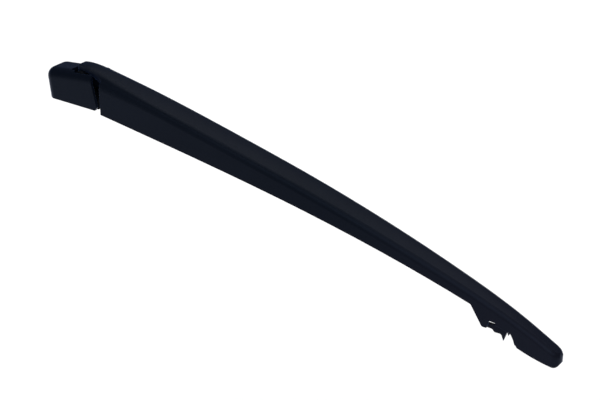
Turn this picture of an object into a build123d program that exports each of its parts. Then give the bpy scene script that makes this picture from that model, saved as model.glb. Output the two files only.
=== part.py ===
import os
from math import atan2, cos, degrees, exp, hypot, pi, sin, sqrt

from build123d import *

os.makedirs("parts", exist_ok=True)

# Clearances between pieces
free_gap = 0.3
running_gap = 0.04

# Hinge of the arm, seen from the side; the spindle axis is X 0 and the head stands on Z 0
hinge_x = 16.0
hinge_z = 18.0
hinge_pin_radius = 2.5
hinge_journal_radius = 2.0
pin_chamfer = 0.4

# Places across the hinge, each measured from the middle plane
link_half = 1.5
link_side_gap = 0.5
lug_inner = link_half + link_side_gap
lug_thick = 2.2
lug_outer = lug_inner + lug_thick
flange_thick = 0.6
cheek_inner = lug_outer + free_gap + flange_thick
cheek_thick = 2.9
cheek_outer = cheek_inner + cheek_thick
ear_inner = cheek_outer + free_gap
ear_hole_depth = 0.9
ear_hole_end = ear_inner + ear_hole_depth
journal_end_gap = 0.1
journal_end = ear_hole_end - journal_end_gap

# Arm: places along X, slopes of its top and lower edge, width and rounding
nose_end = 9.5
wall_start = 34.8
arm_end = 367.0
hood_length = 56.2
leg_start = arm_end - hood_length
nose_height = 25.8
top_slopes = (
    (nose_end, 0.12),
    (28.0, -0.205),
    (170.0, -0.2278),
    (250.0, -0.29147),
    (312.0, -0.346),
    (arm_end, -0.5323),
)
low_start = -1.7
low_slopes = ((wall_start, -0.128), (120.0, -0.138), (264.0, -0.234), (leg_start, -0.3345))
root_half_width = 11.15
tip_half_width = 5.0
taper_start = 50.0
taper_power = 2.5
top_crown = 0.06
tip_rounding = 2.8
inner_rounding = 1.0
narrow_rounding = 0.9
even_rounding = 1.9
root_rounding = 5.0
root_rounding_reach = 45.0
arm_wall = 1.8
arm_roof = 2.4
section_depth = 30.0
section_steps = 20
beyond = 100.0

# Nose, shoulders and hinge lugs of the arm
nose_half = 3.3
nose_root_half = 8.2
nose_corner = 2.4
shoulder_low_z = 18.5
shoulder_high_z = 22.0
nose_front_wall = 3.0
nose_lip_z = 20.5
nose_round = 1.9
lug_radius = 5.6
lug_reach = 45.0

# Hood over the blade clip; its points are measured back from the arm's end and up from its top there
tip_corner = 4.7
tip_round = 5.5
tip_foot_round = 3.0
tip_side_x = arm_end - tip_corner
tip_wall = 2.5
tip_steps = 5
leg_foot = (48.3, 4.9)
leg_back = (45.2, 4.9)
hood_rounds = (1.0, 0.5, 0.5, 0.5, 0.7, 1.6)
window_front = (44.5, 10.0)
window_back = (40.0, 10.0)
relief_front = (40.0, 8.4)
relief_back = (30.0, 5.6)
hood_front = (25.8, -2.0)
hood_middle = (15.0, -5.5)
hood_foot = -7.8

# Ribs under the arm's roof
rib_first = 136.0
rib_step = 27.0
rib_count = 7
rib_thick = 1.4
rib_rise = 2.6

# Spring line, from the link pin in the head to the anchor pin in the arm
link_pin_x = 12.5
link_pin_z = 9.0
link_pin_radius = 1.75
anchor_x = 118.0
anchor_z = -3.5
anchor_radius = 2.0
cradle_gap = 0.5
cradle_thick = 2.2
cradle_half_length = 7.0
anchor_stub = 0.4
cradle_depth = 4.2
spring_length = hypot(anchor_x - link_pin_x, anchor_z - link_pin_z)
spring_angle = degrees(atan2(anchor_z - link_pin_z, anchor_x - link_pin_x))
wire_radius = 0.75
coil_radius = 3.75
coil_outer = coil_radius + wire_radius
cradle_inner = coil_outer + cradle_gap
cradle_outer = cradle_inner + cradle_thick
anchor_half = cradle_outer + anchor_stub
coil_valley = 0.45
coils_per_ridge = 8
loop_seat = 1.9
loop_arc = 256.0

# Spring link, measured along the spring line from the link pin
link_hole_at = 26.0
link_hole_radius = 1.5
link_eye_radius = 3.6
link_end_radius = 2.8
link_low = -3.4
link_high = -0.6
link_crank_end = 19.0

# Nut cover
cover_wall = 1.8
cover_half = ear_hole_end + cover_wall
cover_foot_x = -12.6
cover_left_x = -15.0
cover_left_z = 20.0
cover_right_x = 26.5
cover_right_z = 24.4
cover_edge_x = 31.5
cover_edge_z = 2.4
cover_toe_x = 29.8
cover_corner = 7.0
cover_round = 6.3
notch_x = 6.5
notch_gap = 3.2
notch_front_half = nose_half + notch_gap
notch_half = ear_inner
screen_setback = 0.4
screen_thick = 1.4
screen_foot_z = 17.4
notch_corner = 1.5
ear_radius = 3.4
ear_root = ear_hole_end + cover_wall / 3

# Mounting head, its hinge bushes and its serrated bush
boss_wall = 1.8
boss_height = 10.5
floor_end = 24.0
floor_thick = 2.6
cheek_end = 30.5
cheek_step_z = 8.0
eye_radius = 5.2
cheek_back_x = 7.5
hinge_bush_radius = 3.5
flange_radius = 4.6
taper_bush_radius = 6.5
boss_radius = taper_bush_radius + boss_wall
spindle_bore_radius = 4.1
taper_length = 7.0
taper_low_radius = 5.0
taper_high_radius = 4.4
serration_depth = 0.35
serrations = 36

# Blade clip, measured like the hood
clip_wall = 1.3
clip_roof = 1.5
clip_roof_gap = 0.6
clip_front = 48.4
clip_back = 21.0
clip_foot = 3.7
clip_heel = -0.6
slot_front = 46.8
slot_length = 5.6
slot_low = 6.8
slot_height = 2.4
seat_radius = 1.6
seat_place = (32.2, 5.8)
seat_mouth = 1.2
back_teeth = ((26.9, -2.9), (28.4, -2.0))
front_teeth = ((35.6, -1.9), (36.9, 1.6), (38.0, 2.1), (41.4, 1.9), (43.2, 3.5))


# Height along a line whose slope changes evenly between the given places
def line_height(x, start, slopes):
    height = start
    for (x0, slope0), (x1, slope1) in zip(slopes, slopes[1:]):
        run = min(max(x - x0, 0.0), x1 - x0)
        height += run * (slope0 + (slope1 - slope0) * run / (x1 - x0) / 2)
    return height


def top_height(x):
    return line_height(x, nose_height, top_slopes)


def low_height(x):
    return line_height(x, low_start, low_slopes)


# Half width of the arm, rounded off at the tip
def half_width(x):
    share = max(x - taper_start, 0.0) / (arm_end - taper_start)
    side = root_half_width - (root_half_width - tip_half_width) * share**taper_power
    turn = max(x - tip_side_x, 0.0)
    return side - tip_corner + sqrt(tip_corner**2 - turn**2)


# Point of the hood or clip, from its distance back from the arm's end and up from the top there
def tip_point(back, up):
    return arm_end - back, top_height(arm_end) + up


# Radius of the arm's shoulders, which can't pass its half width
def rounding(x):
    fade = exp(-(((x - nose_end) / root_rounding_reach) ** 2))
    radius = tip_rounding + even_rounding * (1 - x / arm_end) + root_rounding * fade
    return min(radius, half_width(x) * narrow_rounding)


# Cross-section of the arm: crowned top, rounded shoulders, straight sides
def arm_section(x, inset, roof, depth):
    half = half_width(x) - inset
    top = top_height(x) - roof
    shoulder = top - top_crown * half
    with BuildSketch(Plane.YZ.offset(x)) as section:
        with BuildLine():
            Polyline((half, shoulder), (half, top - depth), (-half, top - depth), (-half, shoulder))
            ThreePointArc((-half, shoulder), (0, top), (half, shoulder))
        make_face()
        fillet(section.vertices().group_by(Axis.Y)[-1], rounding(x) - min(inset, tip_rounding - inner_rounding))
    return section.sketch


def section_places(start, end):
    return [start + (end - start) * i / section_steps for i in range(section_steps + 1)]


# The two planes, near and far, from which a pair of plates is drawn towards the near side
def plate_planes(inner, outer):
    return Plane.XZ.offset(inner), Plane.XZ.offset(-outer)


# Ribs: a row of cross ribs and one along the middle, ending above the arm's lower edge
rib_last = rib_first + rib_step * (rib_count - 1)
rib_mid = (rib_first + rib_last) / 2
with BuildPart() as ribs:
    with BuildSketch(Plane.XZ):
        with BuildLine():
            rib_ends = (rib_first - rib_thick, rib_mid, rib_last + rib_thick)
            Spline([(x, low_height(x) + rib_rise) for x in rib_ends])
            Polyline(
                (rib_ends[2], low_height(rib_ends[2]) + rib_rise),
                (rib_ends[2], beyond),
                (rib_ends[0], beyond),
                (rib_ends[0], low_height(rib_ends[0]) + rib_rise),
            )
        make_face()
    extrude(amount=beyond, both=True)
    with BuildSketch():
        with Locations((rib_mid, 0)):
            Rectangle(rib_last - rib_first, rib_thick)
            with GridLocations(rib_step, 1, rib_count, 1):
                Rectangle(rib_thick, beyond)
    extrude(amount=beyond, both=True, mode=Mode.INTERSECT)

# Hollow of the arm, less the ribs, lugs and cradle that stand in it
hollow_start = nose_end + nose_front_wall
hollow_end = arm_end - tip_wall
hollow_depth = section_depth + arm_roof
with BuildPart() as arm_hollow:
    loft([arm_section(x, arm_wall, arm_roof, hollow_depth) for x in section_places(hollow_start, hollow_end)])
    add(ribs.part, mode=Mode.SUBTRACT)
    with BuildSketch(*plate_planes(lug_inner, lug_outer)):
        with Locations((hinge_x, hinge_z)):
            Circle(lug_radius)
        with BuildLine():
            Polyline(
                (hinge_x - lug_radius, hinge_z),
                (hinge_x - lug_radius, beyond),
                (lug_reach, beyond),
                (lug_reach, top_height(lug_reach) - 2 * arm_roof),
                (hinge_x, hinge_z - lug_radius),
                close=True,
            )
        make_face()
    extrude(amount=lug_outer - lug_inner, mode=Mode.SUBTRACT)
    with BuildSketch(*plate_planes(cradle_inner, cradle_outer)):
        with Locations((anchor_x, anchor_z - cradle_depth)):
            Rectangle(2 * cradle_half_length, beyond, align=(Align.CENTER, Align.MIN))
        with Locations((anchor_x, anchor_z)):
            Circle(anchor_radius, mode=Mode.SUBTRACT)
            Rectangle(2 * anchor_radius, beyond, align=(Align.CENTER, Align.MAX), mode=Mode.SUBTRACT)
    extrude(amount=cradle_outer - cradle_inner, mode=Mode.SUBTRACT)

# Arm body: one moulding with nose, lugs, ribs, cradle and tip hood
tip_top_x = arm_end - tip_round
tip_turns = [tip_corner * sin(pi / 2 * i / tip_steps) for i in range(tip_steps + 1)]
with BuildPart() as arm_body:
    loft([arm_section(x, 0, 0, section_depth) for x in section_places(nose_end, tip_side_x)])
    loft([arm_section(tip_side_x + turn, 0, 0, section_depth) for turn in tip_turns])
    with BuildSketch():
        with BuildLine():
            Polyline(
                (nose_end, 0),
                (nose_end, nose_half),
                (wall_start, nose_root_half),
                (wall_start, 2 * root_half_width),
                (arm_end, 2 * root_half_width),
                (arm_end, 0),
            )
            mirror(about=Plane.XZ)
        make_face()
        fillet(vertices().group_by(Axis.X)[0], nose_corner)
    extrude(amount=beyond, both=True, mode=Mode.INTERSECT)
    with BuildSketch(Plane.XZ):
        with BuildLine():
            Line((nose_end, nose_lip_z), (nose_end, nose_height - nose_round))
            nose_top = (nose_end + nose_round, nose_height)
            RadiusArc((nose_end, nose_height - nose_round), nose_top, nose_round)
            Polyline(nose_top, (nose_top[0], beyond), (tip_top_x, beyond), (tip_top_x, top_height(tip_top_x)))
            tip_front = (arm_end, top_height(tip_top_x) - tip_round)
            RadiusArc((tip_top_x, top_height(tip_top_x)), tip_front, tip_round)
            tip_low = tip_point(0, hood_foot + tip_foot_round)
            tip_foot = tip_point(tip_foot_round, hood_foot)
            Line(tip_front, tip_low)
            RadiusArc(tip_low, tip_foot, tip_foot_round)
            ThreePointArc(tip_foot, tip_point(*hood_middle), tip_point(*hood_front))
            hood_edge = (
                hood_front, relief_back, relief_front, window_back, window_front, leg_back, leg_foot
            )
            hood_points = [tip_point(*point) for point in hood_edge]
            FilletPolyline(*hood_points, (leg_start, low_height(leg_start)), radius=hood_rounds)
            low_places = [leg_start + (wall_start - leg_start) * i / 4 for i in range(5)]
            Spline([(x, low_height(x)) for x in low_places])
            Polyline((wall_start, low_start), (wall_start, hinge_z - lug_radius), (hinge_x, hinge_z - lug_radius))
            RadiusArc((hinge_x, hinge_z - lug_radius), (hinge_x - lug_radius, hinge_z), lug_radius)
            Polyline((hinge_x - lug_radius, hinge_z), (hinge_x - lug_radius, nose_lip_z), (nose_end, nose_lip_z))
        make_face()
    extrude(amount=beyond, both=True, mode=Mode.INTERSECT)
    add(arm_hollow.part, mode=Mode.SUBTRACT)
    with BuildSketch(Plane.XZ):
        with Locations((hinge_x, nose_lip_z)):
            Rectangle(2 * lug_radius, 2 * lug_radius, align=(Align.CENTER, Align.MAX))
    extrude(amount=lug_inner, both=True, mode=Mode.SUBTRACT)
    with BuildSketch(Plane.XZ):
        with Locations((hinge_x, hinge_z)):
            Circle(hinge_pin_radius)
    extrude(amount=lug_outer, both=True, mode=Mode.SUBTRACT)
    with BuildSketch(*plate_planes(lug_outer, beyond)):
        with Locations((hinge_x, hinge_z)):
            Circle(eye_radius + free_gap)
        with BuildLine():
            Polyline(
                (0, low_start),
                (wall_start, low_start),
                (wall_start, shoulder_low_z),
                (hinge_x, shoulder_high_z),
                (0, shoulder_high_z),
                close=True,
            )
        make_face()
    extrude(amount=beyond - lug_outer, mode=Mode.SUBTRACT)
arm_body.part.label = "arm_body"
export_step(arm_body.part, "parts/arm_body.step")


# Rounded block of the nut cover, and of its hollow
def cover_block(inset, foot_z, end_points):
    with BuildPart() as block:
        with BuildSketch(Plane.XZ):
            with BuildLine():
                left_top = (cover_left_x + inset, cover_left_z - inset)
                Polyline((cover_foot_x + inset, foot_z), left_top, *end_points, close=True)
            make_face()
        extrude(amount=cover_half - inset, both=True)
        fillet(block.edges().group_by(Axis.X)[1], cover_corner - inset)
        fillet(block.faces().sort_by(Axis.Z)[-1].edges().sort_by(Axis.X)[:-1], cover_round - inset)
    return block.part


# Nut cover: deep cap with a notch for the nose, a screen wall before it and ears that hang on the hinge pin
cover_slope = (cover_right_z - cover_left_z) / (cover_right_x - cover_left_x)
cover_outside = cover_block(
    0,
    0,
    [(cover_right_x, cover_right_z), (cover_edge_x, cover_edge_z), (cover_toe_x, 0)],
)
hollow_x = 2 * cover_right_x
hollow_z = cover_right_z + cover_slope * (hollow_x - cover_right_x) - cover_wall
cover_inside = cover_block(cover_wall, -cover_wall, [(hollow_x, hollow_z), (hollow_x, -cover_wall)])
wall_middle = cover_wall / 2
cover_middle = cover_block(
    wall_middle,
    -cover_wall,
    [(hollow_x, hollow_z + wall_middle), (hollow_x, -cover_wall)],
)
with BuildPart() as ears:
    with BuildSketch(*plate_planes(ear_inner, ear_root)):
        with Locations((hinge_x, hinge_z)):
            Circle(ear_radius)
    extrude(amount=ear_root - ear_inner)
    add(cover_outside, mode=Mode.INTERSECT)
with BuildPart() as screen:
    with BuildSketch(Plane.XZ):
        with Locations((notch_x - screen_setback, screen_foot_z)):
            Rectangle(screen_thick, beyond, align=(Align.MAX, Align.MIN))
    extrude(amount=cover_half, both=True)
    add(cover_middle, mode=Mode.INTERSECT)
with BuildPart() as nut_cover:
    add(cover_outside)
    add(cover_inside, mode=Mode.SUBTRACT)
    with BuildSketch(Plane.XY.offset(hinge_z - ear_radius)):
        with BuildLine():
            notch_step_x = hinge_x - eye_radius - free_gap
            Polyline(
                (notch_x, 0),
                (notch_x, notch_front_half),
                (notch_step_x, notch_front_half),
                (notch_step_x, notch_half),
                (hollow_x, notch_half),
                (hollow_x, 0),
            )
            mirror(about=Plane.XZ)
        make_face()
        fillet(vertices().group_by(Axis.X)[0], notch_corner)
    extrude(amount=beyond, mode=Mode.SUBTRACT)
    add(ears.part)
    add(screen.part)
    with BuildSketch(Plane.XZ):
        with Locations((hinge_x, hinge_z)):
            Circle(hinge_journal_radius + running_gap)
    extrude(amount=ear_hole_end, both=True, mode=Mode.SUBTRACT)
nut_cover.part.label = "nut_cover"
export_step(nut_cover.part, "parts/nut_cover.step")

# Mounting head: boss for the spindle bush, floor and two hinge cheeks
with BuildPart() as mounting_head:
    with BuildSketch():
        Circle(boss_radius)
    extrude(amount=boss_height)
    with BuildSketch():
        Rectangle(floor_end, 2 * cheek_outer, align=(Align.MIN, Align.CENTER))
    extrude(amount=floor_thick)
    with BuildSketch(*plate_planes(cheek_inner, cheek_outer)):
        with BuildLine():
            Polyline(
                (hinge_x - eye_radius, hinge_z),
                (cheek_back_x, boss_height),
                (0, boss_height),
                (0, 0),
                (cheek_end, 0),
                (cheek_end, cheek_step_z),
                (hinge_x + eye_radius, hinge_z),
            )
            CenterArc((hinge_x, hinge_z), eye_radius, 0, 180)
        make_face()
        with Locations((hinge_x, hinge_z)):
            Circle(hinge_bush_radius, mode=Mode.SUBTRACT)
        with Locations((link_pin_x, link_pin_z)):
            Circle(link_pin_radius, mode=Mode.SUBTRACT)
    extrude(amount=cheek_outer - cheek_inner)
    with BuildSketch():
        Circle(taper_bush_radius)
    extrude(amount=boss_height, mode=Mode.SUBTRACT)
mounting_head.part.label = "mounting_head"
export_step(mounting_head.part, "parts/mounting_head.step")


# Outline of the serrations at one height
def serration_ring(radius, height):
    with BuildSketch(Plane.XY.offset(height)) as ring:
        with BuildLine():
            turn = pi / serrations
            radii = [radius + serration_depth * (i % 2) for i in range(2 * serrations)]
            Polyline([(r * cos(i * turn), r * sin(i * turn)) for i, r in enumerate(radii)], close=True)
        make_face()
    return ring.sketch


# Serrated bush: tapered below for the spindle's knurl, plain above for its thread
with BuildPart() as taper_bush:
    with BuildSketch():
        Circle(taper_bush_radius)
        Circle(spindle_bore_radius, mode=Mode.SUBTRACT)
    extrude(amount=boss_height)
    rings = [serration_ring(taper_low_radius, 0), serration_ring(taper_high_radius, taper_length)]
    loft(rings, ruled=True, mode=Mode.SUBTRACT)
taper_bush.part.label = "taper_bush"
export_step(taper_bush.part, "parts/taper_bush.step")

# Hinge pin: thick through lugs and bushes, thin where the cover's ears hang
with BuildPart() as hinge_pin:
    with BuildSketch(Plane.XZ):
        with Locations((hinge_x, hinge_z)):
            Circle(hinge_pin_radius)
    extrude(amount=cheek_outer, both=True)
    with BuildSketch(Plane.XZ):
        with Locations((hinge_x, hinge_z)):
            Circle(hinge_journal_radius)
    extrude(amount=journal_end, both=True)
    chamfer(edges().group_by(Axis.Y)[0] + edges().group_by(Axis.Y)[-1], pin_chamfer)
hinge_pin.part.label = "hinge_pin"
export_step(hinge_pin.part, "parts/hinge_pin.step")

# Flanged bush in the near cheek, and its mirror image in the far cheek
with BuildPart() as hinge_bush_near:
    with BuildSketch(Plane.XZ.offset(cheek_inner - flange_thick)):
        with Locations((hinge_x, hinge_z)):
            Circle(flange_radius)
            Circle(hinge_pin_radius + running_gap, mode=Mode.SUBTRACT)
    extrude(amount=flange_thick)
    with BuildSketch(Plane.XZ.offset(cheek_inner)):
        with Locations((hinge_x, hinge_z)):
            Circle(hinge_bush_radius)
            Circle(hinge_pin_radius + running_gap, mode=Mode.SUBTRACT)
    extrude(amount=cheek_outer - cheek_inner)
with BuildPart() as hinge_bush_far:
    mirror(hinge_bush_near.part, about=Plane.XZ)
hinge_bush_near.part.label = "hinge_bush_near"
hinge_bush_far.part.label = "hinge_bush_far"
export_step(hinge_bush_near.part, "parts/hinge_bush_near.step")
export_step(hinge_bush_far.part, "parts/hinge_bush_far.step")

# Link pin across the head
with BuildPart() as link_pin:
    with BuildSketch(Plane.XZ):
        with Locations((link_pin_x, link_pin_z)):
            Circle(link_pin_radius)
    extrude(amount=cheek_outer, both=True)
    chamfer(edges().group_by(Axis.Y)[0] + edges().group_by(Axis.Y)[-1], pin_chamfer)
link_pin.part.label = "link_pin"
export_step(link_pin.part, "parts/link_pin.step")

# Side-view plane that runs along the spring line, with its origin on the link pin
spring_plane = Plane.XZ.rotated((0, -spring_angle, 0))
spring_plane.origin = (link_pin_x, 0, link_pin_z)

# Spring link: flat cranked hook, its crank leaving room for the hinge pin
with BuildPart() as spring_link:
    with BuildSketch(spring_plane):
        Circle(link_eye_radius)
        with Locations((link_hole_at, 0)):
            Circle(link_end_radius)
        with BuildLine():
            Polyline(
                (0, link_high),
                (link_crank_end, link_high),
                (link_hole_at, link_end_radius),
                (link_hole_at, -link_end_radius),
                (link_crank_end, link_low),
                (0, link_low),
                close=True,
            )
        make_face()
        Circle(link_pin_radius + running_gap, mode=Mode.SUBTRACT)
        with Locations((link_hole_at, 0)):
            Circle(link_hole_radius, mode=Mode.SUBTRACT)
    extrude(amount=link_half, both=True)
spring_link.part.label = "spring_link"
export_step(spring_link.part, "parts/spring_link.step")

# Tension spring: close-wound coils between a loop in the link and a loop on the anchor pin
link_loop_at = link_hole_at + coil_radius
anchor_loop_at = spring_length + anchor_radius + running_gap - coil_radius + wire_radius
coil_start = link_loop_at + loop_seat
coil_end = anchor_loop_at - loop_seat
ridges = round((coil_end - coil_start) / (2 * wire_radius * coils_per_ridge))
pitch = (coil_end - coil_start) / ridges


# Open loop of wire whose arc has its middle in the given direction from the loop's centre
def wire_loop(place, ring_axis, middle):
    centre = spring_plane.from_local_coords((place, 0, 0))
    start = middle.rotate(Axis((0, 0, 0), ring_axis), -loop_arc / 2)
    with BuildPart() as loop:
        with BuildSketch(Plane(origin=centre, x_dir=start, z_dir=start.cross(ring_axis))):
            with Locations((coil_radius, 0)):
                Circle(wire_radius)
        revolve(axis=Axis(centre, ring_axis), revolution_arc=loop_arc)
    return loop.part


with BuildPart() as tension_spring:
    with BuildSketch(spring_plane):
        with BuildLine():
            depths = [coil_valley * (1 - i % 2) for i in range(2 * ridges + 1)]
            outside = [(coil_start + pitch * i / 2, coil_outer - depth) for i, depth in enumerate(depths)]
            bore = [(coil_end, coil_radius - wire_radius), (coil_start, coil_radius - wire_radius)]
            Polyline(outside + bore, close=True)
        make_face()
    revolve(axis=Axis(spring_plane.origin, spring_plane.x_dir))
    add(wire_loop(link_loop_at, spring_plane.y_dir, -spring_plane.x_dir))
    add(wire_loop(anchor_loop_at, spring_plane.z_dir, spring_plane.x_dir))
tension_spring.part.label = "tension_spring"
export_step(tension_spring.part, "parts/tension_spring.step")

# Anchor pin in the arm's cradle
with BuildPart() as spring_anchor_pin:
    with BuildSketch(Plane.XZ):
        with Locations((anchor_x, anchor_z)):
            Circle(anchor_radius)
    extrude(amount=anchor_half, both=True)
    chamfer(edges().group_by(Axis.Y)[0] + edges().group_by(Axis.Y)[-1], pin_chamfer)
spring_anchor_pin.part.label = "spring_anchor_pin"
export_step(spring_anchor_pin.part, "parts/spring_anchor_pin.step")

# Blade clip: roof and two toothed cheeks with a snap seat for the blade's cross pin
def clip_roof_height(x):
    hollow_half = half_width(x) - arm_wall
    return top_height(x) - arm_roof - top_crown * hollow_half - clip_roof_gap


clip_front_x = arm_end - clip_front
clip_back_x = arm_end - clip_back
clip_outer = half_width(clip_back_x) - arm_wall - free_gap
clip_inner = clip_outer - clip_wall
roof_front = (clip_front_x, clip_roof_height(clip_front_x))
roof_back = (clip_back_x, clip_roof_height(clip_back_x))
seat_lip = sqrt(seat_radius**2 - seat_mouth**2)
seat_lips = (
    (seat_place[0] - seat_mouth, seat_place[1] - seat_lip),
    (seat_place[0] + seat_mouth, seat_place[1] - seat_lip),
)
clip_edge = ((clip_back, clip_heel), *back_teeth, *seat_lips, *front_teeth, (clip_front, clip_foot))
with BuildPart() as blade_clip:
    with BuildSketch(*plate_planes(clip_inner, clip_outer)):
        with BuildLine():
            Polyline(roof_front, roof_back, *[tip_point(*point) for point in clip_edge], close=True)
        make_face()
        with Locations(tip_point(*seat_place)):
            Circle(seat_radius, mode=Mode.SUBTRACT)
        with Locations(tip_point(slot_front, slot_low)):
            Rectangle(slot_length, slot_height, align=(Align.MIN, Align.MIN), mode=Mode.SUBTRACT)
    extrude(amount=clip_wall)
    with BuildSketch(Plane.XZ):
        with BuildLine():
            inner_front = (roof_front[0], roof_front[1] - clip_roof)
            inner_back = (roof_back[0], roof_back[1] - clip_roof)
            Polyline(roof_front, roof_back, inner_back, inner_front, close=True)
        make_face()
    extrude(amount=clip_outer, both=True)
blade_clip.part.label = "blade_clip"
export_step(blade_clip.part, "parts/blade_clip.step")
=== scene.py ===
import math

import bmesh
import bpy
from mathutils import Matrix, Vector


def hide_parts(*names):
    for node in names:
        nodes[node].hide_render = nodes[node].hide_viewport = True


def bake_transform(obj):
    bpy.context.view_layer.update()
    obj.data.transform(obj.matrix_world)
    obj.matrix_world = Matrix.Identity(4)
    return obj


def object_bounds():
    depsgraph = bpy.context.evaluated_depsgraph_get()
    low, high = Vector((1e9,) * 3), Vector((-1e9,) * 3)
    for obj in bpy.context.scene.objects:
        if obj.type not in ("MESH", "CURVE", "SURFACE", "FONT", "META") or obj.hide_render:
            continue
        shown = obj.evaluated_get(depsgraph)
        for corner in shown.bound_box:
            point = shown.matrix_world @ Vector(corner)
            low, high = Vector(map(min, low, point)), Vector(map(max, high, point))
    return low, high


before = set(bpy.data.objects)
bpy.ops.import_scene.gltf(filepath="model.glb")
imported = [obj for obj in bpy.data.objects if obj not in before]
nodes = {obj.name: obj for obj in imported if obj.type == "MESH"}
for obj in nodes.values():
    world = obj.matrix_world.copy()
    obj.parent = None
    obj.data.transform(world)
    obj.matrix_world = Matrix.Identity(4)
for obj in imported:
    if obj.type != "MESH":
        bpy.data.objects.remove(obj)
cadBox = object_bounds()
print("frame loaded, nodes:", len(nodes))


# camera at the photo's angle
photoView = {
    "azimuth": 35.0,
    "elevation": 26.584,
    "place": (0.657866, -0.673914, 0.386793),
    "lens": 90.0,
    "sensor": 36.0,
}


def placeCamera(s):
    turn = math.radians(s["azimuth"])
    tilt = math.radians(s["elevation"])
    back = Vector((math.sin(turn) * math.cos(tilt), -math.cos(turn) * math.cos(tilt), math.sin(tilt)))
    data = bpy.data.cameras.new("photoCamera")
    data.lens = s["lens"]
    data.sensor_width = s["sensor"]
    cam = bpy.data.objects.new("photoCamera", data)
    bpy.context.scene.collection.objects.link(cam)
    cam.location = s["place"]
    cam.rotation_mode = "QUATERNION"
    cam.rotation_quaternion = (-back).to_track_quat("-Z", "Y")
    bpy.context.scene.camera = cam


placeCamera(photoView)
print("camera placed")


# a noise texture seldom leaves this band, so ranges and ramps are laid on it
noiseBand = (0.3, 0.7)
rampBand = (0.35, 0.65)


# small helpers for node trees
def startMaterial(name):
    mat = bpy.data.materials.new(name)
    mat.use_nodes = True
    tree = mat.node_tree
    tree.nodes.clear()
    out = tree.nodes.new("ShaderNodeOutputMaterial")
    shader = tree.nodes.new("ShaderNodeBsdfPrincipled")
    tree.links.new(shader.outputs["BSDF"], out.inputs["Surface"])
    coords = tree.nodes.new("ShaderNodeTexCoord")
    return mat, tree, shader, coords.outputs["Object"]


def addStretch(tree, coords, scale):
    mapping = tree.nodes.new("ShaderNodeMapping")
    mapping.inputs["Scale"].default_value = scale
    tree.links.new(coords, mapping.inputs["Vector"])
    return mapping.outputs["Vector"]


def addNoise(tree, coords, scale, detail=2.0):
    noise = tree.nodes.new("ShaderNodeTexNoise")
    noise.inputs["Scale"].default_value = scale
    noise.inputs["Detail"].default_value = detail
    tree.links.new(coords, noise.inputs["Vector"])
    return noise.outputs["Fac"]


def addRamp(tree, fac, band, lowColor, highColor):
    ramp = tree.nodes.new("ShaderNodeValToRGB")
    for stop, position, color in zip(ramp.color_ramp.elements, band, (lowColor, highColor)):
        stop.position = position
        stop.color = (*color, 1.0)
    tree.links.new(fac, ramp.inputs["Fac"])
    return ramp.outputs["Color"]


def addRange(tree, fac, band, result):
    span = tree.nodes.new("ShaderNodeMapRange")
    span.inputs["From Min"].default_value, span.inputs["From Max"].default_value = band
    span.inputs["To Min"].default_value, span.inputs["To Max"].default_value = result
    tree.links.new(fac, span.inputs["Value"])
    return span.outputs["Result"]


# the Mix node's sockets 6 and 7 are its two colours, 2 and 3 its two numbers
def addMix(tree, fac, first, second):
    mix = tree.nodes.new("ShaderNodeMix")
    mix.data_type = "RGBA"
    tree.links.new(fac, mix.inputs[0])
    for value, socket in ((first, mix.inputs[6]), (second, mix.inputs[7])):
        if isinstance(value, tuple):
            socket.default_value = (*value, 1.0)
        else:
            tree.links.new(value, socket)
    return mix.outputs[2]


def addProduct(tree, first, second):
    product = tree.nodes.new("ShaderNodeMath")
    product.operation = "MULTIPLY"
    tree.links.new(first, product.inputs[0])
    tree.links.new(second, product.inputs[1])
    return product.outputs["Value"]


def addBlend(tree, fac, first, second):
    blend = tree.nodes.new("ShaderNodeMix")
    tree.links.new(fac, blend.inputs[0])
    tree.links.new(first, blend.inputs[2])
    tree.links.new(second, blend.inputs[3])
    return blend.outputs[0]


def addAlong(tree, coords):
    split = tree.nodes.new("ShaderNodeSeparateXYZ")
    tree.links.new(coords, split.inputs["Vector"])
    return split.outputs["X"]


# rounded normals for the sharp moulded edges, and a mask that is 1 on those edges
softEdges = {
    "samples": 6,
    "turnedDot": (0.98, 0.8),
    "mask": (0.0, 1.0),
}


def addSoftEdges(tree, radius, s=softEdges):
    soft = tree.nodes.new("ShaderNodeBevel")
    soft.samples = s["samples"]
    soft.inputs["Radius"].default_value = radius
    flat = tree.nodes.new("ShaderNodeNewGeometry")
    dot = tree.nodes.new("ShaderNodeVectorMath")
    dot.operation = "DOT_PRODUCT"
    tree.links.new(soft.outputs["Normal"], dot.inputs[0])
    tree.links.new(flat.outputs["Normal"], dot.inputs[1])
    edge = addRange(tree, dot.outputs["Value"], s["turnedDot"], s["mask"])
    return soft.outputs["Normal"], edge


def addBump(tree, height, shader, strength, distance, before):
    bump = tree.nodes.new("ShaderNodeBump")
    bump.inputs["Strength"].default_value = strength
    bump.inputs["Distance"].default_value = distance
    tree.links.new(height, bump.inputs["Height"])
    tree.links.new(before, bump.inputs["Normal"])
    tree.links.new(bump.outputs["Normal"], shader.inputs["Normal"])


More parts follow.
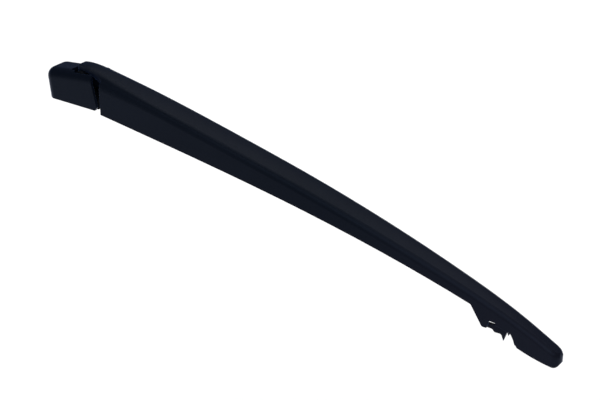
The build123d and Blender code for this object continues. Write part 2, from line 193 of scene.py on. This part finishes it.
# satin black moulded plastic: spark-eroded grain, faint flow streaks, edges mixed lighter for wear and as a
# painted sheen, and a tip that is glossier and painted lighter and bluer as a painted highlight
armPlastic = {
    "darkColor": (0.0012, 0.0018, 0.0032),
    "lightColor": (0.0017, 0.0025, 0.0044),
    # edge colour: partly wear, partly painted sheen
    "edgeWearAndSheenColor": (0.0036, 0.0044, 0.0064),
    # painted highlight: the colour the tip turns to, lighter and bluer than the body
    "tipPaintedHighlightColor": (0.0052, 0.0056, 0.0094),
    "tipHighlightAndGlossFromEnd": (0.147, 0.012),
    "handledRoughness": (0.25, 0.31),
    "specular": 0.05,
    "specularTint": (0.45, 0.62, 1.0),
    "sheen": 0.16,
    "sheenRoughness": 0.4,
    "sheenTint": (0.25, 0.42, 1.0),
    "roughness": (0.31, 0.39),
    "cloudScale": 24.0,
    "cloudDetail": 3.0,
    "flowStretch": (9.0, 120.0, 120.0),
    "toneSpan": (0.6, 1.0),
    "toneBand": (0.35, 1.0),
    "edgeWearAndSheenAmount": (0.25, 0.8),
    "grainScale": 4200.0,
    "grainDepth": 0.00002,
    "grainStrength": 0.3,
    "edgeRadius": 0.0003,
}
clipPlastic = {
    **armPlastic,
    "darkColor": (0.0022, 0.0027, 0.0042),
    "lightColor": (0.0030, 0.0036, 0.0056),
    "roughness": (0.28, 0.36),
    "grainStrength": 0.12,
    "edgeRadius": 0.0002,
}


def makePlastic(name, s):
    mat, tree, shader, coords = startMaterial(name)
    cloud = addNoise(tree, coords, s["cloudScale"], s["cloudDetail"])
    flow = addNoise(tree, addStretch(tree, coords, s["flowStretch"]), 1.0, s["cloudDetail"])
    grain = addNoise(tree, coords, s["grainScale"])
    normal, edge = addSoftEdges(tree, s["edgeRadius"])
    clouded = addRange(tree, cloud, noiseBand, s["toneSpan"])
    streaked = addRange(tree, flow, noiseBand, s["toneSpan"])
    body = addRamp(tree, addProduct(tree, clouded, streaked), s["toneBand"], s["darkColor"], s["lightColor"])
    # edges mixed to a lighter colour, partly wear and partly painted sheen
    edgeWearAndSheen = addProduct(tree, edge, addRange(tree, cloud, rampBand, s["edgeWearAndSheenAmount"]))
    # one mask, rising towards the tip, carries the painted highlight colour and the glossier roughness
    tipHighlightAndGlossReach = [cadBox[1][0] - back for back in s["tipHighlightAndGlossFromEnd"]]
    tipHighlightAndGloss = addRange(tree, addAlong(tree, coords), tipHighlightAndGlossReach, (0.0, 1.0))
    # painted highlight: the base colour turns lighter and bluer towards the tip
    paintedTipHighlight = addMix(tree, tipHighlightAndGloss, body, s["tipPaintedHighlightColor"])
    tree.links.new(addMix(tree, edgeWearAndSheen, paintedTipHighlight, s["edgeWearAndSheenColor"]), shader.inputs["Base Color"])
    satin = addRange(tree, grain, noiseBand, s["roughness"])
    glossy = addRange(tree, grain, noiseBand, s["handledRoughness"])
    tree.links.new(addBlend(tree, tipHighlightAndGloss, satin, glossy), shader.inputs["Roughness"])
    shader.inputs["Specular IOR Level"].default_value = s["specular"]
    shader.inputs["Specular Tint"].default_value = (*s["specularTint"], 1.0)
    shader.inputs["Sheen Weight"].default_value = s["sheen"]
    shader.inputs["Sheen Roughness"].default_value = s["sheenRoughness"]
    shader.inputs["Sheen Tint"].default_value = (*s["sheenTint"], 1.0)
    addBump(tree, grain, shader, s["grainStrength"], s["grainDepth"], normal)
    return mat


# black electro-dipped die casting, its coat rubbed thin on the edges
castHead = {
    "darkColor": (0.0008, 0.0012, 0.0020),
    "lightColor": (0.0016, 0.0021, 0.0032),
    "bareColor": (0.012, 0.013, 0.016),
    "specular": 0.03,
    "specularTint": (0.45, 0.62, 1.0),
    "roughness": (0.42, 0.56),
    "skinScale": 420.0,
    "skinDetail": 4.0,
    "peelScale": 1500.0,
    "peelDepth": 0.00006,
    "peelStrength": 0.35,
    "edgeRadius": 0.0004,
    "rubScale": 160.0,
    "rubDetail": 4.0,
    "rubBand": (0.5, 0.62),
    "rubAmount": (0.0, 0.7),
}


def makeCasting(name, s):
    mat, tree, shader, coords = startMaterial(name)
    skin = addNoise(tree, coords, s["skinScale"], s["skinDetail"])
    peel = addNoise(tree, coords, s["peelScale"])
    rub = addNoise(tree, coords, s["rubScale"], s["rubDetail"])
    normal, edge = addSoftEdges(tree, s["edgeRadius"])
    coat = addRamp(tree, skin, rampBand, s["darkColor"], s["lightColor"])
    bare = addProduct(tree, edge, addRange(tree, rub, s["rubBand"], s["rubAmount"]))
    tree.links.new(addMix(tree, bare, coat, s["bareColor"]), shader.inputs["Base Color"])
    tree.links.new(bare, shader.inputs["Metallic"])
    tree.links.new(addRange(tree, skin, noiseBand, s["roughness"]), shader.inputs["Roughness"])
    shader.inputs["Specular IOR Level"].default_value = s["specular"]
    shader.inputs["Specular Tint"].default_value = (*s["specularTint"], 1.0)
    addBump(tree, peel, shader, s["peelStrength"], s["peelDepth"], normal)
    return mat


# steels: zinc plate on the bush and link, ground pins, oiled spring wire
bushSteel = {
    "darkColor": (0.40, 0.41, 0.43),
    "lightColor": (0.56, 0.555, 0.53),
    "patchScale": 260.0,
    "patchDetail": 4.0,
    "roughness": (0.28, 0.42),
    "lineStretch": (1500.0, 1500.0, 300.0),
    "lineDepth": 0.00002,
    "lineStrength": 0.25,
    "edgeRadius": 0.00012,
}
pinSteel = {
    **bushSteel,
    "darkColor": (0.46, 0.46, 0.48),
    "lightColor": (0.58, 0.58, 0.60),
    "roughness": (0.22, 0.34),
    "lineStretch": (120.0, 7000.0, 120.0),
    "lineDepth": 0.00001,
}
linkSteel = {
    **bushSteel,
    "darkColor": (0.36, 0.37, 0.39),
    "lightColor": (0.50, 0.50, 0.48),
    "roughness": (0.32, 0.48),
    "lineStretch": (250.0, 2600.0, 1400.0),
}
springSteel = {
    **bushSteel,
    "darkColor": (0.23, 0.225, 0.22),
    "lightColor": (0.38, 0.38, 0.385),
    "patchScale": 180.0,
    "roughness": (0.26, 0.4),
    "lineStretch": (2600.0, 2600.0, 2600.0),
    "lineDepth": 0.00001,
    "edgeRadius": 0.00005,
}


def makeSteel(name, s):
    mat, tree, shader, coords = startMaterial(name)
    patch = addNoise(tree, coords, s["patchScale"], s["patchDetail"])
    lines = addNoise(tree, addStretch(tree, coords, s["lineStretch"]), 1.0)
    normal, edge = addSoftEdges(tree, s["edgeRadius"])
    plate = addRamp(tree, patch, rampBand, s["darkColor"], s["lightColor"])
    tree.links.new(addMix(tree, edge, plate, s["lightColor"]), shader.inputs["Base Color"])
    tree.links.new(addRange(tree, lines, noiseBand, s["roughness"]), shader.inputs["Roughness"])
    shader.inputs["Metallic"].default_value = 1.0
    addBump(tree, lines, shader, s["lineStrength"], s["lineDepth"], normal)
    return mat


# natural acetal of the hinge bushes, its tone and gloss varying in patches
bushPlastic = {
    "darkColor": (0.60, 0.585, 0.52),
    "lightColor": (0.74, 0.73, 0.68),
    "patchScale": 320.0,
    "patchDetail": 3.0,
    "roughness": (0.3, 0.44),
    "grainScale": 2600.0,
    "grainDepth": 0.00002,
    "grainStrength": 0.2,
    "edgeRadius": 0.0002,
}


def makeAcetal(name, s):
    mat, tree, shader, coords = startMaterial(name)
    patch = addNoise(tree, coords, s["patchScale"], s["patchDetail"])
    grain = addNoise(tree, coords, s["grainScale"])
    normal, edge = addSoftEdges(tree, s["edgeRadius"])
    body = addRamp(tree, patch, rampBand, s["darkColor"], s["lightColor"])
    tree.links.new(addMix(tree, edge, body, s["lightColor"]), shader.inputs["Base Color"])
    tree.links.new(addRange(tree, patch, noiseBand, s["roughness"]), shader.inputs["Roughness"])
    addBump(tree, grain, shader, s["grainStrength"], s["grainDepth"], normal)
    return mat


satinBlack = makePlastic("satinBlackPlastic", armPlastic)
clipBlack = makePlastic("clipBlackPlastic", clipPlastic)
blackCasting = makeCasting("blackDippedCasting", castHead)
zincBush = makeSteel("zincPlatedBush", bushSteel)
groundPin = makeSteel("groundPinSteel", pinSteel)
zincLink = makeSteel("zincPlatedLink", linkSteel)
oiledWire = makeSteel("oiledSpringWire", springSteel)
naturalAcetal = makeAcetal("naturalAcetal", bushPlastic)

finishes = {
    "arm_body": satinBlack,
    "nut_cover": satinBlack,
    "blade_clip": clipBlack,
    "mounting_head": blackCasting,
    "taper_bush": zincBush,
    "hinge_pin": groundPin,
    "link_pin": groundPin,
    "spring_anchor_pin": groundPin,
    "spring_link": zincLink,
    "tension_spring": oiledWire,
    "hinge_bush_near": naturalAcetal,
    "hinge_bush_far": naturalAcetal,
}
for name, finish in finishes.items():
    nodes[name].data.materials.clear()
    nodes[name].data.materials.append(finish)
print("finishes made:", len(finishes))


# tension spring: close-wound wire with a loop through the link and one round the anchor pin
springWire = {
    "wireRadius": 0.00075,
    "coilRadius": 0.00375,
    "linkHoleAt": 0.026,
    "anchorRadius": 0.00204,
    "bendRadius": 0.0019,
    "turns": 45,
    "stepsPerTurn": 20,
    "wireSides": 10,
    "bendSteps": 5,
    "loopSteps": 22,
    "loopArc": 250.0,
    "mergeDistance": 0.000001,
}


def nodeMiddle(name):
    corners = [nodes[name].matrix_world @ Vector(c) for c in nodes[name].bound_box]
    return sum(corners, Vector()) / len(corners)


# selects the open ring of wire at the given end and leaves the rest unselected
def selectEndRing(piece, atStart):
    mesh = bmesh.from_edit_mesh(piece.data)
    bpy.ops.mesh.select_all(action="DESELECT")
    xs = [v.co.x for v in mesh.verts]
    middle = (min(xs) + max(xs)) / 2
    for edge in mesh.edges:
        if edge.is_boundary and (edge.verts[0].co.x < middle) == atStart:
            edge.select_set(True)
    mesh.select_flush_mode()
    bmesh.update_edit_mesh(piece.data)


def spinWire(steps, angle, center, axis):
    bpy.ops.mesh.spin(steps=steps, angle=math.radians(angle), center=center, axis=axis)


# the coil is made along X from the link pin and then laid on the line between the two pins
def makeSpring(s):
    linkPin = nodeMiddle("link_pin")
    anchor = nodeMiddle("spring_anchor_pin")
    line = anchor - linkPin
    tilt = math.asin(s["bendRadius"] / s["coilRadius"])
    rise = s["coilRadius"] * math.cos(tilt)
    linkLoop = s["linkHoleAt"] + s["coilRadius"]
    anchorLoop = line.length + s["anchorRadius"] + s["wireRadius"] - s["coilRadius"]
    start = linkLoop + 2 * s["bendRadius"]
    end = anchorLoop - 2 * s["bendRadius"]
    startAngle = math.pi + tilt
    sweep = 2 * math.pi * s["turns"] + math.pi / 2 - tilt - startAngle
    bpy.ops.object.select_all(action="DESELECT")
    bpy.ops.mesh.primitive_circle_add(
        vertices=s["wireSides"], radius=s["wireRadius"], location=(start, s["coilRadius"], 0)
    )
    spring = bpy.context.object
    spring.name = "tensionSpringWire"
    bpy.ops.object.transform_apply(location=True)
    screw = spring.modifiers.new("coil", "SCREW")
    screw.axis = "X"
    screw.angle = sweep
    screw.screw_offset = end - start
    screw.steps = s["turns"] * s["stepsPerTurn"]
    screw.render_steps = screw.steps
    bpy.ops.object.modifier_apply(modifier="coil")
    spring.rotation_euler = (startAngle, 0, 0)
    bpy.ops.object.transform_apply(rotation=True)
    bpy.ops.object.mode_set(mode="EDIT")
    bpy.ops.mesh.select_mode(type="EDGE")
    # link end: the wire rises, bends outwards and goes round level
    bend = s["bendRadius"]
    selectEndRing(spring, True)
    spinWire(s["bendSteps"], -90.0, (start - bend, -rise, -bend), (0, 1, 0))
    spinWire(s["loopSteps"], -s["loopArc"], (linkLoop, 0, 0), (0, 0, 1))
    bpy.ops.mesh.edge_face_add()
    # anchor end: the same, upright
    selectEndRing(spring, False)
    spinWire(s["bendSteps"], 90.0, (end + bend, bend, rise), (0, 0, 1))
    spinWire(s["loopSteps"], s["loopArc"], (anchorLoop, 0, 0), (0, 1, 0))
    bpy.ops.mesh.edge_face_add()
    bpy.ops.mesh.select_all(action="SELECT")
    bpy.ops.mesh.remove_doubles(threshold=s["mergeDistance"])
    bpy.ops.mesh.normals_make_consistent(inside=False)
    bpy.ops.object.mode_set(mode="OBJECT")
    bpy.ops.object.shade_smooth()
    spring.rotation_euler = (0, math.atan2(-line.z, line.x), 0)
    spring.location = linkPin
    bpy.ops.object.transform_apply(location=True, rotation=True)
    spring.data.materials.append(oiledWire)
    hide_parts("tension_spring")
    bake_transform(spring)
    print("spring wound, points:", len(spring.data.vertices))


makeSpring(springWire)


# pale floor and plain soft light: lamps in front and above, and a weak one low in front
studio = {
    "floorSize": 12.0,
    "floorHeight": -0.25,
    "floorColor": (0.95, 0.95, 0.95),
    "worldColor": (1.0, 1.0, 1.0),
    "worldStrength": 0.06,
    "lamps": (
        {"name": "frontLamp", "from": (0.16, -0.57, 0.8), "spread": 62.0, "strength": 2.65},
        {"name": "topLamp", "from": (-0.1, 0.42, 0.9), "spread": 56.0, "strength": 1.3},
        {"name": "lowLamp", "from": (-0.28, -0.92, 0.26), "spread": 40.0, "strength": 0.45},
    ),
}


# the floor is clear from below, so it never hides the underside
def makeFloor(s):
    bpy.ops.object.select_all(action="DESELECT")
    bpy.ops.mesh.primitive_plane_add(size=s["floorSize"], location=(0, 0, s["floorHeight"]))
    floor = bpy.context.object
    floor.name = "studioFloor"
    mat = bpy.data.materials.new("paleFloor")
    mat.use_nodes = True
    tree = mat.node_tree
    tree.nodes.clear()
    out = tree.nodes.new("ShaderNodeOutputMaterial")
    pale = tree.nodes.new("ShaderNodeBsdfDiffuse")
    pale.inputs["Color"].default_value = (*s["floorColor"], 1.0)
    clear = tree.nodes.new("ShaderNodeBsdfTransparent")
    side = tree.nodes.new("ShaderNodeNewGeometry")
    mix = tree.nodes.new("ShaderNodeMixShader")
    tree.links.new(side.outputs["Backfacing"], mix.inputs["Fac"])
    tree.links.new(pale.outputs["BSDF"], mix.inputs[1])
    tree.links.new(clear.outputs["BSDF"], mix.inputs[2])
    tree.links.new(mix.outputs["Shader"], out.inputs["Surface"])
    floor.data.materials.append(mat)


def makeWorld(s):
    world = bpy.data.worlds.new("studioWorld")
    bpy.context.scene.world = world
    world.use_nodes = True
    soft = world.node_tree.nodes["Background"]
    soft.inputs["Color"].default_value = (*s["worldColor"], 1.0)
    soft.inputs["Strength"].default_value = s["worldStrength"]


def makeLamps(s):
    for lamp in s["lamps"]:
        data = bpy.data.lights.new(lamp["name"], "SUN")
        data.angle = math.radians(lamp["spread"])
        data.energy = lamp["strength"]
        light = bpy.data.objects.new(lamp["name"], data)
        bpy.context.scene.collection.objects.link(light)
        light.location = Vector(lamp["from"])
        light.rotation_mode = "QUATERNION"
        light.rotation_quaternion = (-Vector(lamp["from"])).to_track_quat("-Z", "Y")


makeFloor(studio)
makeWorld(studio)
makeLamps(studio)
bpy.context.scene.view_settings.view_transform = "Standard"
print("studio lit")
